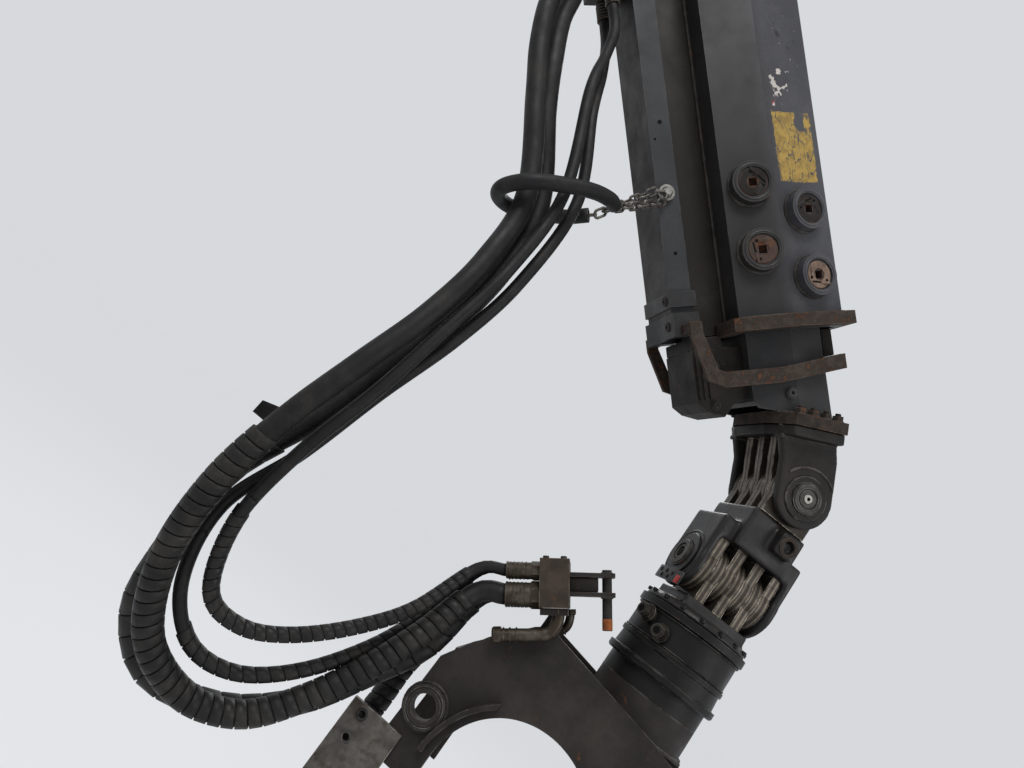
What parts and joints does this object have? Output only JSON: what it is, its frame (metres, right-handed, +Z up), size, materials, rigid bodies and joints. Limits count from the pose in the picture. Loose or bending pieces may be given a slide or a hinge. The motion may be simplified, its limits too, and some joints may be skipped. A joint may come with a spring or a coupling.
{
  "type": "forestry harvester crane stick",
  "caption": "Telescopic crane stick of a forestry harvester, with a brake link, rotator, tilt frame, manifold and free-hanging hose loop in a chain sling.",
  "frame": {"origin": "centre of the stick's pivot bore, where the stick hangs on the crane's main boom", "axes": "+Z up, +X outward along the crane, +Y along the pivot, to the left seen from the crane; the stick slopes down toward +X and the link hangs plumb"},
  "size_m": [1.8899, 0.5554, 2.8404],
  "materials": {
    "grey_paint": "worn slate-grey paint on plate",
    "dark_paint": "dark grey-brown paint, greasy and dusty",
    "rusty_steel": "bare plate with brown rust",
    "black_cast": "black painted casting, satin",
    "disc_steel": "brown rusted disc edges, rubbed bright in places",
    "pin_steel": "worn steel pin, dull",
    "zinc": "zinc plated, dull",
    "chrome_rod": "hard chrome piston rod",
    "hose_rubber": "black rubber hose, matte",
    "wear_plastic": "black sliding pad"
  },
  "bodies": {
    "stick": {"stick_box": "grey_paint", "stick_tail": "grey_paint", "cylinder_lug": "grey_paint", "mouth_collar": "rusty_steel", "guard_strap": "rusty_steel", "adjuster_bosses": "grey_paint", "adjuster_plugs": "rusty_steel", "mouth_pads": "wear_plastic", "guard_channel": "grey_paint", "channel_collar": "grey_paint", "cylinder_barrel": "dark_paint", "chain_anchor": "zinc", "sling_chain": "zinc", "sling_sleeve": "hose_rubber", "hose_bulkhead": "dark_paint", "hose_a": "hose_rubber", "hose_b": "hose_rubber", "hose_c": "hose_rubber", "hose_d": "hose_rubber"},
    "extension": {"extension_box": "grey_paint", "rear_pads": "wear_plastic", "cylinder_rod": "chrome_rod", "rod_block": "dark_paint", "nose_flange": "rusty_steel", "hanger": "dark_paint", "hanger_discs": "disc_steel", "upper_pin": "pin_steel"},
    "link": {"link_body": "black_cast", "link_discs": "disc_steel", "lower_pin": "pin_steel"},
    "rotator": {"rotator_head": "black_cast", "rotator_discs": "disc_steel", "rotator_housing": "black_cast", "rotator_ports": "zinc"},
    "tilt_frame": {"rotor_flange": "dark_paint", "frame_crown": "dark_paint", "tilt_plates": "dark_paint", "tilt_bosses": "dark_paint", "manifold_bracket": "dark_paint", "manifold": "dark_paint", "hose_ferrules": "zinc", "stop_bracket": "rusty_steel", "bulkhead_plate": "zinc", "guard_bar": "dark_paint", "hose_e": "hose_rubber"}
  },
  "joints": [
    {"name": "extension_slide", "type": "slide", "parent": "stick", "child": "extension", "axis": [0.6871, 0, -0.7266], "range_m": [0, 0.9], "deforming": ["hose_a", "hose_b", "hose_c", "hose_d"]},
    {"name": "upper_link_swing", "type": "hinge", "parent": "extension", "child": "link", "pos_m": [1.62443, 0, -1.71197], "axis": [0, 1, 0], "range_deg": [-45, 45]},
    {"name": "lower_link_swing", "type": "hinge", "parent": "link", "child": "rotator", "pos_m": [1.62443, 0, -1.94537], "axis": [1, 0, 0], "range_deg": [-30, 30]},
    {"name": "rotator_turn", "type": "hinge", "parent": "rotator", "child": "tilt_frame", "pos_m": [1.62443, 0, -2.19537], "axis": [0, 0, 1], "range_deg": [-90, 90]}
  ]
}
